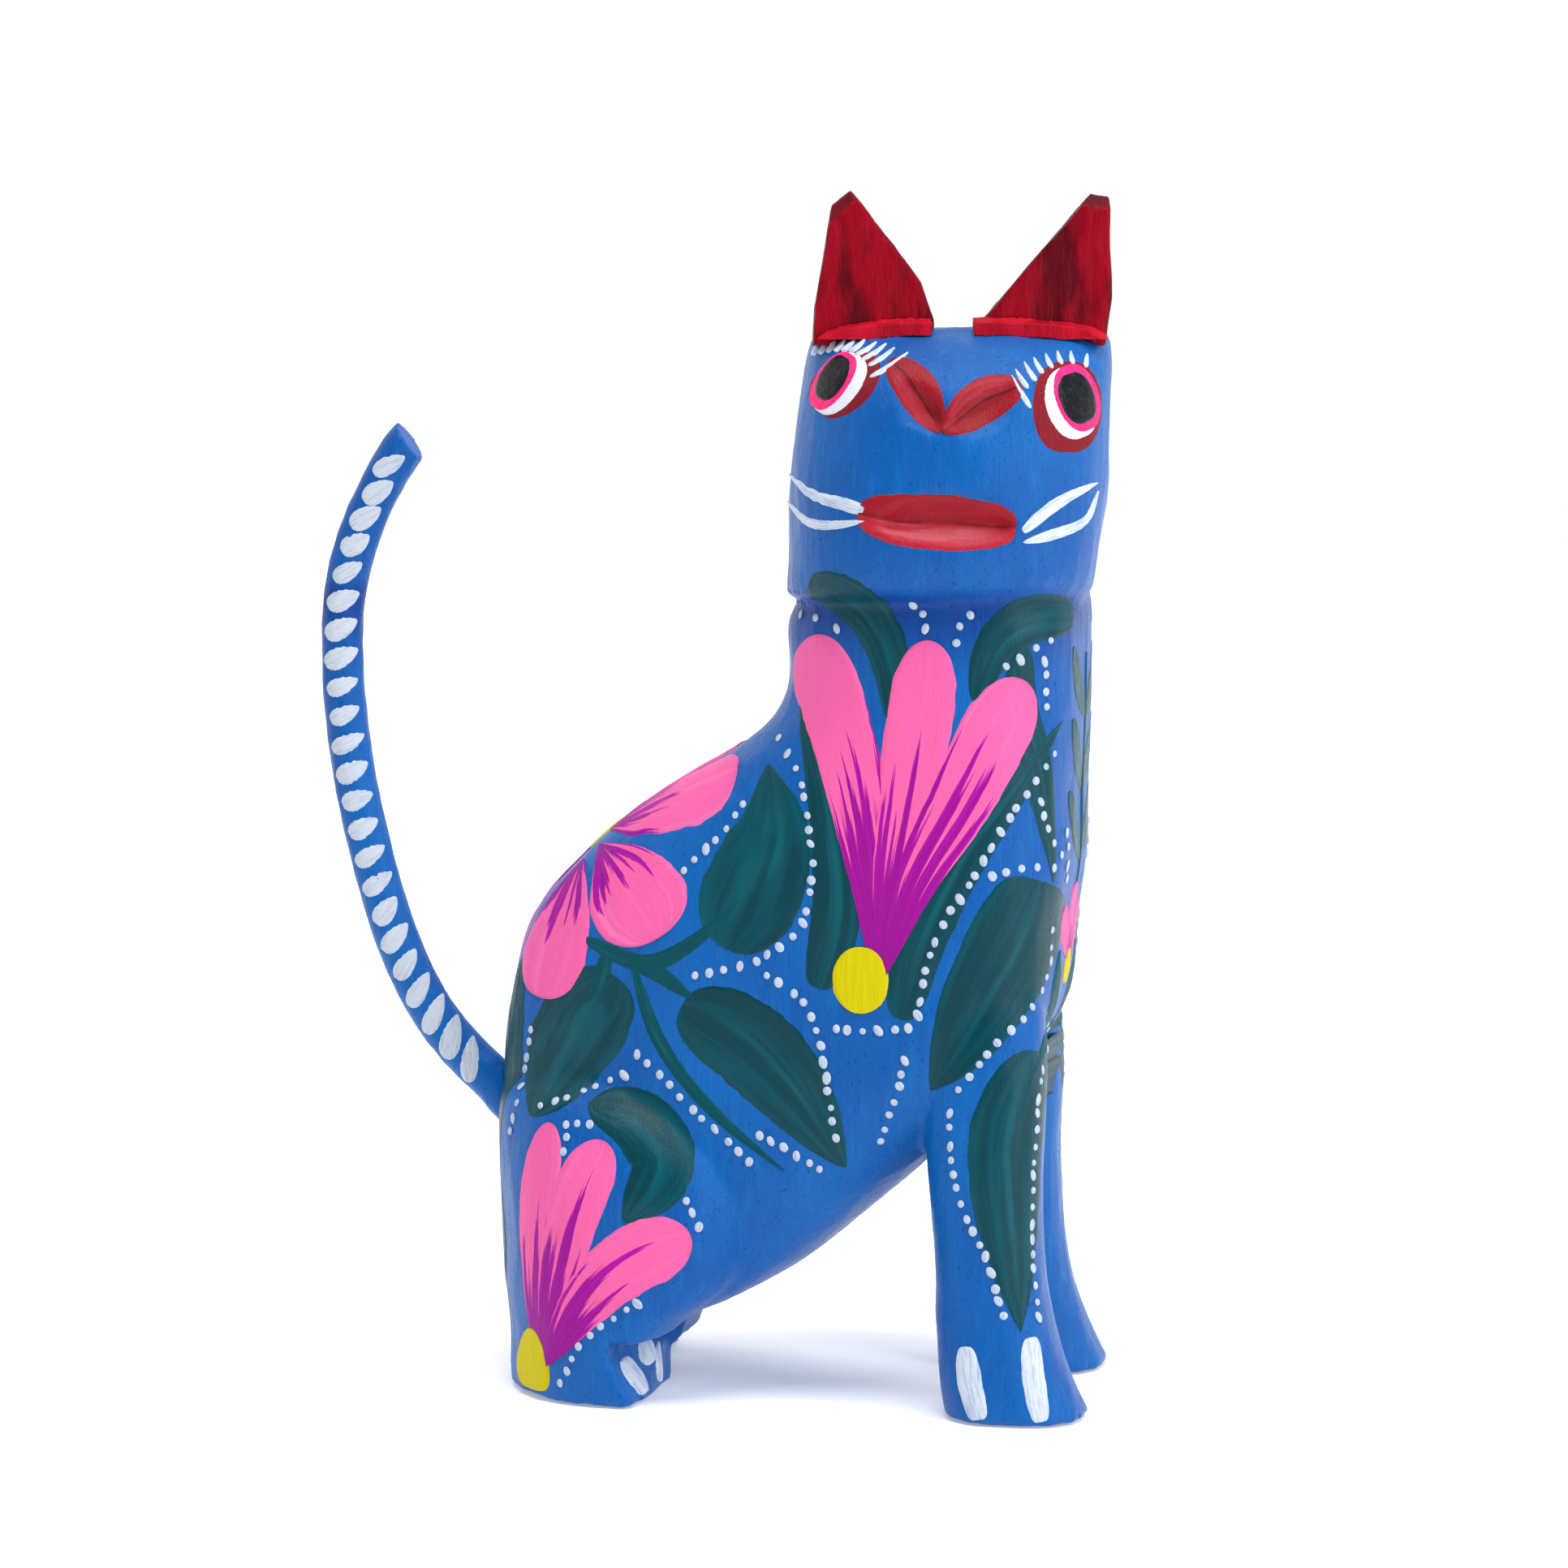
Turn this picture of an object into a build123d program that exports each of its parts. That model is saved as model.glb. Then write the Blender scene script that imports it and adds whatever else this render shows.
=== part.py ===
from build123d import *
import os
from math import copysign, cos, pi, sin

# A seated cat, whittled from a block of light wood and painted.
# Its chest points along -Y, +X is its left side and +Z is up. Sizes are in millimetres.
# In the outlines below, "forward" is a distance towards the chest, which is -Y.
# The figure is one carved body, a tail that plugs into a drilled socket, two ears
# let into the crown, and a bead of wood paste along the foot of each ear.

# Driving dimensions
HEAD_TURN = 78.0             # degrees that the head looks round over the right flank
HEAD_FORWARD = 30.0          # how far forward the head's own centre line stands
OUTLINE_POINTS = 28          # points round each carved section

TAIL_ROOT = (-28.4, 36.0)    # forward, height where the tail leaves the rump
TAIL_SLOPE = 46.0            # degrees that the tail rises from level at its root
TAIL_ROOT_RADIUS = 3.0
TAIL_TIP_RADIUS = 2.75
TENON_LENGTH = 12.0
SOCKET_CLEARANCE = 0.06      # radial, so that the tail pulls out by hand
SOCKET_END_GAP = 0.3

EAR_THICKNESS = 4.6
EAR_FRONT = 10.0             # how far in front of the head's centre the ears' faces stand
EAR_TONGUE_THICKNESS = 3.0
EAR_TONGUE_INSET = 3.0       # how much shorter the tongue is at each end
EAR_TONGUE_BOTTOM = 130.0    # the tongue runs down to here in the crown
EAR_TONGUE_TOP = 136.0       # and up to here inside the ear
BEAD_HEIGHT = 1.2            # wood paste above the crown
BEAD_DEPTH = 2.2             # wood paste in front of the ear
BEAD_BOTTOM = 132.2          # the paste stops here, at the edge of the crown
BEAD_INSET = 0.8             # how much shorter a bead is than its ear's foot
BEAD_STRIP = 6.0             # more than a bead's full height

LEG_SPREAD = 13.2            # how far from the middle the tops of the front legs are
LEFT_LEG_SETBACK = 2.3       # the left front leg stands this much further back
LEFT_PAW_SETBACK = 4.7       # and so does the left hind paw
TOE_LINE = -4.8              # forward position of the right hind paw's toes
PAW_SLOT_WIDTH = 9.0         # the cut between the hind paws
PAW_SLOT_LENGTH = 11.0
SLOT_HEIGHT = 5.0
HIND_WIDTH = 30.0            # more than the hindquarters' half width, so the cuts run right out
TOE_HEIGHT = 5.5             # the square toes stop here, under the belly
PAW_HEIGHT = 8.0             # the slanting outer toes stop here, under the haunch

# Level sections of the trunk, from the belly up into the head:
# height, rear, widest, front, half width, roundness of the rear, roundness of the front.
# A roundness of 2 is an ellipse, and a larger one is squarer.
TRUNK = [
    (3.0, -24.0, -10.0, -7.4, 17.5, 2.1, 2.4),
    (9.0, -25.4, -9.0, -2.0, 18.8, 2.1, 2.6),
    (15.0, -26.2, -7.0, 10.6, 19.5, 2.2, 2.8),
    (22.0, -26.8, -2.0, 19.6, 19.8, 2.3, 3.0),
    (31.0, -27.2, 8.0, 30.0, 19.9, 2.4, 3.3),
    (40.0, -27.5, 20.0, 38.4, 19.9, 2.5, 3.8),
    (50.0, -26.3, 27.0, 44.6, 19.8, 2.6, 4.0),
    (59.0, -23.7, 28.5, 45.7, 19.6, 2.6, 3.8),
    (67.0, -17.5, 29.0, 46.9, 19.3, 2.5, 3.6),
    (73.5, -9.8, 29.0, 47.2, 19.0, 2.4, 3.4),
    (79.0, -1.2, 29.0, 47.3, 18.8, 2.3, 3.3),
    (83.0, 5.2, 29.0, 47.5, 18.6, 2.3, 3.2),
    (87.0, 8.9, 29.0, 47.6, 18.5, 2.3, 3.1),
    (92.0, 10.2, 29.0, 47.7, 18.4, 2.3, 3.1),
    (99.0, 10.6, 29.2, 47.7, 18.3, 2.3, 3.0),
    (106.0, 10.6, 29.4, 47.7, 18.1, 2.3, 2.9),
]

# Level sections of the hindquarters, which stand proud of the flanks as rounded haunches
# and run down into the hind paws. They are given in the same way.
HINDQUARTERS = [
    (0.0, -25.9, -9.0, -3.4, 23.4, 2.0, 4.0),
    (5.0, -26.4, -9.0, -3.4, 23.5, 2.0, 4.0),
    (9.5, -26.7, -8.8, -1.2, 23.6, 2.0, 4.0),
    (14.0, -27.0, -8.5, 5.6, 23.7, 2.1, 4.0),
    (21.0, -27.3, -8.0, 9.8, 23.8, 2.1, 4.0),
    (28.0, -27.6, -8.0, 8.2, 23.3, 2.2, 4.0),
    (33.0, -27.8, -9.0, 5.0, 22.0, 2.2, 3.6),
    (36.5, -27.3, -10.0, 1.4, 20.4, 2.3, 3.0),
    (39.0, -25.6, -11.0, -2.8, 18.2, 2.3, 2.6),
    (41.0, -22.0, -12.0, -7.5, 14.0, 2.3, 2.4),
]

# Level sections of a front leg: height, rear, front, half thickness, how far it has splayed.
FRONT_LEG = [
    (0.0, 33.0, 51.0, 8.1, 3.0),
    (4.5, 32.2, 48.8, 7.9, 2.8),
    (10.0, 31.8, 46.8, 7.6, 2.5),
    (20.0, 31.3, 45.0, 7.2, 2.0),
    (32.0, 30.4, 44.8, 7.0, 1.4),
    (46.0, 29.5, 45.0, 6.8, 0.0),
    (58.0, 29.5, 42.0, 5.6, -2.4),
    (70.0, 31.0, 39.0, 4.0, -4.6),
]
LEG_ROUNDNESS = 2.4

# Level sections of the head, in its own turned frame:
# height, middle, half width, back, face, roundness.
HEAD = [
    (101.0, -1.5, 18.5, 15.6, 17.5, 2.5),
    (102.6, -1.0, 19.3, 16.0, 20.6, 2.5),
    (105.0, -0.7, 19.4, 16.6, 21.6, 2.6),
    (111.0, -0.2, 19.8, 17.8, 22.2, 2.6),
    (118.0, 0.2, 19.9, 18.6, 22.0, 2.6),
    (124.0, 0.7, 19.6, 18.2, 21.2, 2.6),
    (129.0, 1.2, 19.3, 17.2, 18.8, 2.7),
    (132.5, 1.5, 18.8, 14.8, 14.0, 2.9),
    (134.6, 1.7, 17.4, 11.0, 9.0, 3.0),
]

# The tail's middle line after its root: forward, height.
TAIL_LINE = [
    (-35.2, 42.8),
    (-40.5, 51.0),
    (-45.1, 63.6),
    (-48.7, 80.5),
    (-49.6, 92.0),
    (-48.0, 105.8),
    (-44.4, 114.2),
    (-39.6, 120.9),
]
TAIL_SECTIONS = 16
TAIL_TIP_DIRECTION = (0.62, 0.79)    # forward and up, where the tail ends
TAIL_CUT = (-40.1, 119.7, 33.0)      # forward, height and slope of the sawn tip
SAW_BLOCK = 20.0                     # side of the block of waste that a straight saw cut removes
SLANT_SHEET = 4 * SAW_BLOCK          # wide enough for a slanting cut to run right across the foot

# Ear outlines in the head's frame, as sideways and height points from the outer foot round.
RIGHT_EAR = [(-17.2, 132.2), (-17.0, 137.0), (-14.8, 149.6), (-12.4, 151.5), (-3.6, 140.0), (-2.0, 135.4), (-1.9, 132.2)]
LEFT_EAR = [(19.2, 132.2), (19.9, 138.0), (19.6, 150.6), (17.2, 151.0), (3.4, 134.8), (2.2, 132.2)]
EAR_TIP_BEVEL = 1.6

# The mouth and the nostrils are leaf-shaped V cuts: middle sideways, middle height,
# how far in front of the head's centre, tilt, turn, length, width, depth, and how blunt.
MOUTH = (-0.9, 110.6, 22.2, -2.0, 0.0, 19.4, 8.2, 2.6, 2.2)
NOSTRILS = [
    (-4.7, 126.0, 20.4, -48.0, -7.0, 10.6, 5.0, 1.6, 1.7),
    (3.7, 125.0, 20.8, 29.0, 6.0, 10.6, 5.0, 1.6, 1.7),
]
LEAF_POINTS = 20
LEAF_FLARE = (1.05, 1.5)     # length and width of a cut half its depth above the wood, against the leaf's
LEAF_CREASE = (0.85, 0.05)   # and the same at the crease

# The slanting cut across the outer toes: sideways, forward of the toe line and height of
# its outer foot, its outer top and its inner top.
TOE_CUT = [(23.4, -0.8, 0.0), (22.0, -4.5, PAW_HEIGHT), (6.0, -0.7, PAW_HEIGHT)]


def carved_section(height, rear, widest, front, half_width, rear_roundness, front_roundness):
    """A level egg-shaped outline, with its own squareness at each end."""
    outline = []
    for step in range(OUTLINE_POINTS):
        angle = 2 * pi * step / OUTLINE_POINTS
        across, along = cos(angle), sin(angle)
        reach, roundness = (front - widest, front_roundness) if along >= 0 else (widest - rear, rear_roundness)
        x = half_width * copysign(abs(across) ** (2 / roundness), across)
        forward = widest + reach * copysign(abs(along) ** (2 / roundness), along)
        outline.append((x, -forward, height))
    return make_face(Spline(*outline, periodic=True))


def carved_loft(rows):
    return loft([carved_section(*row) for row in rows])


def front_leg(side, setback):
    """One front leg, lofted from its paw up into the chest."""
    sections = []
    for height, rear, front, half_thickness, splay in FRONT_LEG:
        middle = (rear + front) / 2
        face = carved_section(
            height, rear - setback, middle - setback, front - setback,
            half_thickness, LEG_ROUNDNESS, LEG_ROUNDNESS)
        sections.append(Pos(side * (LEG_SPREAD + splay), 0, 0) * face)
    return loft(sections)


def head_frame():
    """Places a shape from the head's own frame, where the face looks along -Y."""
    return Pos(0, -HEAD_FORWARD, 0) * Rot(0, 0, -HEAD_TURN)


def head(grow=0.0):
    """The head in its own frame. It can be made larger all round, to shape what lies on it."""
    sections = []
    for height, middle, half_width, back, face, roundness in HEAD:
        outline = carved_section(
            height + grow, -back - grow, 0, face + grow, half_width + grow, roundness, roundness)
        sections.append(Pos(middle, 0, 0) * outline)
    return loft(sections)


def leaf(length, width, bluntness, level):
    """A leaf outline. It is pointed at a bluntness of 1 and an ellipse at 2."""
    outline = []
    for step in range(LEAF_POINTS):
        angle = 2 * pi * step / LEAF_POINTS
        across, along = sin(angle), cos(angle)
        side = copysign(abs(across) ** (2 / bluntness), across)
        outline.append((along * length / 2, side * width / 2, level))
    return make_face(Spline(*outline, periodic=True))


def leaf_cut(sideways, height, front, tilt, turn, length, width, depth, bluntness):
    """The waste of a V cut that is leaf-shaped at the surface and narrows to a crease."""
    proud = leaf(length * LEAF_FLARE[0], width * LEAF_FLARE[1], bluntness, depth / 2)
    crease = leaf(length * LEAF_CREASE[0], width * LEAF_CREASE[1], bluntness, -depth)
    waste = loft([crease, proud], ruled=True)
    return Pos(sideways, -front, height) * Rot(0, 0, turn) * Rot(90, 0, 0) * Rot(0, 0, tilt) * waste


def ear_plate(outline):
    """The ear's flat plate, with its sawn top bevelled off."""
    plate = extrude(Plane.XZ * make_face(Polyline(*outline, close=True)), amount=EAR_THICKNESS)
    plate = Pos(0, EAR_THICKNESS - EAR_FRONT, 0) * plate
    tip = plate.faces().sort_by(Axis.Z)[-1]
    edge = tip.edges().filter_by(GeomType.LINE).sort_by(Axis.Y)[0]
    return chamfer(edge, EAR_TIP_BEVEL)


def ear_tongue(outline):
    """The short tongue under an ear, which is glued into a slot in the crown."""
    across = [point[0] for point in outline]
    length = max(across) - min(across) - 2 * EAR_TONGUE_INSET
    tongue = Box(length, EAR_TONGUE_THICKNESS, EAR_TONGUE_TOP - EAR_TONGUE_BOTTOM)
    middle = (max(across) + min(across)) / 2
    return Pos(middle, EAR_THICKNESS / 2 - EAR_FRONT, (EAR_TONGUE_TOP + EAR_TONGUE_BOTTOM) / 2) * tongue


def foot_bead(outline):
    """The strip of space, in front of an ear's foot, that its bead of wood paste fills."""
    across = [point[0] for point in outline]
    width = max(across) - min(across) - BEAD_INSET
    strip = Box(width, BEAD_DEPTH, BEAD_STRIP)
    middle = (max(across) + min(across)) / 2
    return Pos(middle, -EAR_FRONT - BEAD_DEPTH / 2, BEAD_BOTTOM + BEAD_STRIP / 2) * strip


def tail_axis():
    """Unit direction in which the tail leaves its socket, as forward and height."""
    angle = TAIL_SLOPE * pi / 180
    return -cos(angle), sin(angle)


def along_tail_axis(distance):
    """A point on the socket's axis, at a distance outwards from the tail's root."""
    forward, up = tail_axis()
    return Vector(0, -(TAIL_ROOT[0] + forward * distance), TAIL_ROOT[1] + up * distance)


def peg(radius, start, end):
    """A round peg along the tail's axis, between two distances from its root."""
    forward, up = tail_axis()
    base = Plane(origin=along_tail_axis(start), z_dir=Vector(0, -forward, up))
    return extrude(base * Circle(radius), amount=end - start)


def tail():
    """The whittled tail: a tenon, then a tapering round rod bent up into a curve."""
    forward, up = tail_axis()
    line = Spline(
        along_tail_axis(0), *[(0, -ahead, height) for ahead, height in TAIL_LINE],
        tangents=[(0, -forward, up), (0, -TAIL_TIP_DIRECTION[0], TAIL_TIP_DIRECTION[1])])
    sections = []
    for step in range(TAIL_SECTIONS):
        share = step / (TAIL_SECTIONS - 1)
        radius = TAIL_TIP_RADIUS + (TAIL_ROOT_RADIUS - TAIL_TIP_RADIUS) * (1 - share) ** 2
        sections.append(Plane(origin=line @ share, z_dir=line % share) * Circle(radius))
    rod = peg(TAIL_ROOT_RADIUS, -TENON_LENGTH, 0) + loft(sections)
    ahead, height, slope = TAIL_CUT
    block = Pos(0, 0, SAW_BLOCK / 2) * Box(SAW_BLOCK, SAW_BLOCK, SAW_BLOCK)
    waste = Pos(0, -ahead, height) * Rot(90 - slope, 0, 0) * block
    return rod - waste


def saw_block(side, inner, outer, rear, front, top):
    """A box of waste that runs from below the floor up to a height, on one side of the figure."""
    across, along, depth = outer - inner, front - rear, top + SAW_BLOCK
    return Pos(side * (inner + outer) / 2, -(rear + front) / 2, top - depth / 2) * Box(across, along, depth)


def toe_cuts(side, setback):
    """The waste in front of a hind paw: one square cut, and one that slants across the outer toes."""
    toes = TOE_LINE - setback
    square = saw_block(side, 0, HIND_WIDTH, toes, toes + SAW_BLOCK, TOE_HEIGHT)
    outer_foot, outer_top, inner_top = [
        Vector(side * across, -(toes + ahead), height) for across, ahead, height in TOE_CUT]
    normal = (outer_top - outer_foot).cross(inner_top - outer_foot).normalized()
    normal = normal if normal.Y < 0 else normal * -1
    slant = extrude(Plane(origin=outer_foot, z_dir=normal) * Rectangle(SLANT_SHEET, SLANT_SHEET), amount=SAW_BLOCK)
    innermost = min(across for across, _, _ in TOE_CUT)
    outer_toes = saw_block(side, innermost, HIND_WIDTH, toes - SAW_BLOCK, toes + SAW_BLOCK, PAW_HEIGHT)
    return [square, slant & outer_toes]


def carved_body():
    turn = head_frame()
    body = carved_loft(TRUNK) + carved_loft(HINDQUARTERS)
    body = body + [front_leg(-1, 0), front_leg(1, LEFT_LEG_SETBACK)]
    face = head() - [leaf_cut(*cut) for cut in (MOUTH, *NOSTRILS)]
    body = body + turn * face
    slot_rear = TOE_LINE - PAW_SLOT_LENGTH
    slot = saw_block(1, -PAW_SLOT_WIDTH / 2, PAW_SLOT_WIDTH / 2, slot_rear, SAW_BLOCK / 2, SLOT_HEIGHT)
    for cut in (slot, *toe_cuts(-1, 0), *toe_cuts(1, LEFT_PAW_SETBACK)):
        body = body - cut
    body = body - [turn * ear_tongue(outline) for outline in (RIGHT_EAR, LEFT_EAR)]
    socket = peg(TAIL_ROOT_RADIUS + SOCKET_CLEARANCE, -TENON_LENGTH - SOCKET_END_GAP, TENON_LENGTH)
    return body - socket


def build():
    """Every piece by name, in the figure's own frame."""
    turn = head_frame()
    body = carved_body()
    pieces = {"carved_body": body, "tail": tail()}
    crown = turn * head(grow=BEAD_HEIGHT)
    for name, outline in (("right_ear", RIGHT_EAR), ("left_ear", LEFT_EAR)):
        plate = turn * ear_plate(outline)
        pieces[name] = plate - turn * head() + turn * ear_tongue(outline)
        pieces[name + "_bead"] = crown & turn * foot_bead(outline) - turn * head()
    return pieces


pieces = build()
box = Compound(list(pieces.values())).bounding_box()
to_origin = Pos(-box.center().X, -box.center().Y, -box.min.Z)
os.makedirs("parts", exist_ok=True)
for node, shape in pieces.items():
    export_step(to_origin * shape, f"parts/{node}.step")
print("moved by", to_origin.position, "size", box.size)
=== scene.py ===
"""The looks of a whittled and hand-painted seated cat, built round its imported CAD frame.

The carved pieces are copies of the CAD meshes, with the knife's facets added. The paint is
a thin raised skin laid on them stroke by stroke: each stroke is a line of a few points on a
panel, carried straight onto the wood and then spread to its width along the surface.
Lengths are in millimetres until a mesh is made.
"""

import random
from math import cos, exp, pi, radians, sin

import bmesh
import bpy
import numpy as np
from mathutils import Matrix, Vector, noise
from mathutils.bvhtree import BVHTree


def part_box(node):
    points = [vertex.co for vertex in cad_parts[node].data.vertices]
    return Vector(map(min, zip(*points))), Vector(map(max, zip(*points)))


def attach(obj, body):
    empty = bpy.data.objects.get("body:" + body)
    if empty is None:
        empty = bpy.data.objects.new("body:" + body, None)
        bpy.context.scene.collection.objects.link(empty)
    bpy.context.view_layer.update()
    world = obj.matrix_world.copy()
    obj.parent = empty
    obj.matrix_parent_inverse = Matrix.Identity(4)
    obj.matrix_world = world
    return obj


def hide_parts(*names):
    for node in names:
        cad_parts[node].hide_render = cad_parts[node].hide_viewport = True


MM = 0.001
PER_MM = 1 / MM  # the scale of a texture that is measured in millimetres
SEED = 7
PANEL_TURN = radians(12.0)  # the painted side that the viewer faces is turned this much from -X
PANEL_REACH = 200.0  # how far out from the figure the panels stand

BODY_VOXEL = 0.66
SMALL_VOXEL = 0.34
BEAD_VOXEL = 0.26

FACE_OUT = 12.0  # the wood of the face lies further out than this
FACE_RIDGE_ACROSS = 33.5  # where the ridge down the face stands on the near panel
FACE_RIDGE_REACH = 9.0  # how far it spreads to each side
FACE_RIDGE_LOW = 102.0
FACE_RIDGE_HIGH = 124.0
FACE_RIDGE_DEPTH = 0.6

BEAD_FRONT = 1.7  # how far the paste stands out from the ear
BEAD_LOWEST = 133.0  # height of its lower edge
BEAD_SINK = 0.08  # it is drawn in this much, to leave room for its lumps
PIT_RADIUS = 0.5
PIT_DEPTH = 0.55
PIT_BELOW_TOP = 0.9

EAR_FRONT = 0.8  # an ear is red where it faces the viewer at least this much
EAR_SHADED = -0.3  # and a darker red, painted shade, down to this, round its edges

COAT = 0.07  # the thickness of one coat of paint
COAT_STEP = 0.045  # how much further out each later coat lies
PETAL_STEP = 0.013  # and each later petal of one colour
STROKE_STEP = 0.5  # spacing of the points along and across a stroke
STROKE_WOBBLE = 0.05  # how unsteady a stroke's edges are, as a share of its half width
EDGE_SINK = 0.05  # how far a stroke's edges go into the wood
DOT_RADIUS = 0.5
DOT_GAP = 1.9
DOT_HEIGHT = 0.14

CHIN_SHADE_HEIGHTS = (90.0, 100.5, 103.0)  # heights where the painted shade under the chin starts, is deepest, and stops
FAR_LEG_SETBACK = 2.3  # the left front leg stands this much further back than the right
TAIL_PAINT_ROOT = 39.5  # the height where the tail's drops start
TAIL_PAINT_MARGIN = 3.0  # and how far below its tip they end
TAIL_LINE_STEPS = 17
TAIL_DROPS = 23

FLOOR_GLOW = 0.28  # the floor round the figure gives off a little light, so shadows stay pale
FAR_GLOW = 0.4  # and more behind it, to meet the backdrop without a line

CAMERA_LENS = 113.7  # on a sensor 36 wide
CAMERA_SENSOR = 36.0
CAMERA_DISTANCE = 631.0
CAMERA_ACROSS = 8.69  # to the right of the origin on the near panel
CAMERA_FORWARD = 0.427  # and towards the side that the chest faces
CAMERA_HEIGHT = 130.0
CAMERA_PITCH = radians(4.85)  # looking down

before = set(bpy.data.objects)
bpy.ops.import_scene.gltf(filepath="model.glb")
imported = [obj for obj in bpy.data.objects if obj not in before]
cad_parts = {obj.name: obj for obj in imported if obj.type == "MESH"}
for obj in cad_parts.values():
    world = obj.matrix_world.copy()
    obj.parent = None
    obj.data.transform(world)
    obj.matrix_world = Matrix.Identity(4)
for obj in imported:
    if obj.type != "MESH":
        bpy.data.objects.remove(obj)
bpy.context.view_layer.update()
rng = random.Random(SEED)


def panel_axes(side):
    """Rightwards and outwards directions of the near (+1) or far (-1) panel."""
    right = Vector((sin(PANEL_TURN), -cos(PANEL_TURN), 0))
    out = Vector((-cos(PANEL_TURN), -sin(PANEL_TURN), 0))
    return right, out * side


# ---------------------------------------------------------------- carved wood

def shade_smooth(mesh):
    for polygon in mesh.polygons:
        polygon.use_smooth = True


def link(name, mesh, body):
    """A new object that rides on a CAD body."""
    obj = bpy.data.objects.new(name, mesh)
    bpy.context.scene.collection.objects.link(obj)
    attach(obj, body)
    return obj


def stand_in(name, mesh, node, body):
    """Makes a mesh in millimetres into the visible piece that stands for a CAD node."""
    mesh.transform(Matrix.Scale(MM, 4))
    shade_smooth(mesh)
    obj = link(name, mesh, body)
    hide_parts(node)
    return obj


def remeshed_copy(node, voxel):
    """The CAD mesh of a node, in millimetres, with even small faces and softened edges."""
    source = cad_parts[node]
    grid = bmesh.new()
    grid.from_mesh(source.data)
    bmesh.ops.remove_doubles(grid, verts=grid.verts, dist=1e-6)
    grid.transform(Matrix.Scale(1 / MM, 4))
    mesh = bpy.data.meshes.new(node + "_grid")
    grid.to_mesh(mesh)
    grid.free()
    temporary = bpy.data.objects.new(node + "_grid", mesh)
    bpy.context.scene.collection.objects.link(temporary)
    remesh = temporary.modifiers.new("remesh", "REMESH")
    remesh.mode = "VOXEL"
    remesh.voxel_size = voxel
    soften = temporary.modifiers.new("soften", "SMOOTH")
    soften.factor = 0.5
    soften.iterations = 1
    depsgraph = bpy.context.evaluated_depsgraph_get()
    result = bpy.data.meshes.new_from_object(temporary.evaluated_get(depsgraph))
    bpy.data.objects.remove(temporary)
    return result


def knife_facets(point, size, depth):
    """How far a knife's shallow scoops lower the wood at a point: deepest in the middle of each."""
    stretched = Vector((point.x / size, point.y / size, point.z / (2.0 * size)))
    distances, _ = noise.voronoi(stretched)
    scoop = min(1.0, (distances[1] - distances[0]) * 2.2)
    return depth * scoop


def brush_ridges(point, depth):
    """The fine ridges that a stiff brush leaves down the wood."""
    ridges = noise.noise(Vector((point.x * 1.1, point.y * 1.1, point.z * 0.16)))
    swell = noise.noise(Vector((point.x * 0.12, point.y * 0.12, point.z * 0.09)))
    return depth * (ridges + 2.0 * swell)


def face_ridge(point):
    """The low upright ridge down the middle of the cat's face, where two knife cuts meet."""
    right, out = panel_axes(1)
    if point.dot(out) < FACE_OUT or not FACE_RIDGE_LOW < point.z < FACE_RIDGE_HIGH:
        return 0.0
    closeness = max(0.0, 1 - abs(point.dot(right) - FACE_RIDGE_ACROSS) / FACE_RIDGE_REACH)
    fade = min(1.0, (FACE_RIDGE_HIGH - point.z) / 6, (point.z - FACE_RIDGE_LOW) / 4)
    return FACE_RIDGE_DEPTH * closeness * fade


def raised(mesh, height):
    """The mesh's points, each moved along its normal by a height that depends on where it is."""
    moved = []
    for vertex in mesh.vertices:
        moved.append(vertex.co + vertex.normal * height(vertex.co))
    return moved


def set_points(mesh, points, node):
    """Gives a mesh in millimetres new points, held inside its CAD node's box."""
    low, high = (np.array(corner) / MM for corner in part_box(node))
    held = np.clip(np.array(points), low, high)
    mesh.vertices.foreach_set("co", held.astype(np.float32).ravel())
    mesh.update()


def surface_of(mesh):
    """What strokes are laid on: a search tree with smooth normals."""
    points = [vertex.co.copy() for vertex in mesh.vertices]
    faces = [tuple(polygon.vertices) for polygon in mesh.polygons]
    normals = [vertex.normal.copy() for vertex in mesh.vertices]
    tree = BVHTree.FromPolygons(points, faces)
    return {"tree": tree, "faces": faces, "normals": normals}


def carved_piece(node, body, voxel, facet_size, facet_depth, ridge_depth):
    """A carved piece that stands for its CAD node. Returns the object and its surface."""
    mesh = remeshed_copy(node, voxel)

    def carved_height(point):
        surface = brush_ridges(point, ridge_depth) - knife_facets(point, facet_size, facet_depth)
        return surface + (face_ridge(point) if node == "carved_body" else 0.0)

    set_points(mesh, raised(mesh, carved_height), node)
    surface = surface_of(mesh)
    name = node + "_wood" if node.startswith("carved") else "carved_" + node
    return stand_in(name, mesh, node, body), surface


# ---------------------------------------------------------------- finding the wood

def nearest(surface, point):
    """The closest point of a surface and the smooth normal there."""
    place, face_normal, index, _ = surface["tree"].find_nearest(point)
    normal = Vector((0, 0, 0))
    for corner in surface["faces"][index]:
        normal += surface["normals"][corner]
    return place, normal.normalized() if normal.length > 0.1 else face_normal


def onto(surface, origin, direction):
    """Where a line from a panel meets the surface, and the normal there.

    A line that passes the surface by takes the place on it that the line comes closest to.
    """
    place = surface["tree"].ray_cast(origin, direction)[0]
    if place is None:
        steps = range(-40, 41, 2)
        passing = [origin + direction * (PANEL_REACH + step) for step in steps]
        place = min(passing, key=lambda point: surface["tree"].find_nearest(point)[3])
    return nearest(surface, place)


def side_panel(surface, side=1):
    """A way to find the wood from a point on the near (+1) or far (-1) panel."""
    right, out = panel_axes(side)

    def find(across, height):
        return onto(surface, right * across + Vector((0, 0, height)) + out * PANEL_REACH, -out)
    return find


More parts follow.
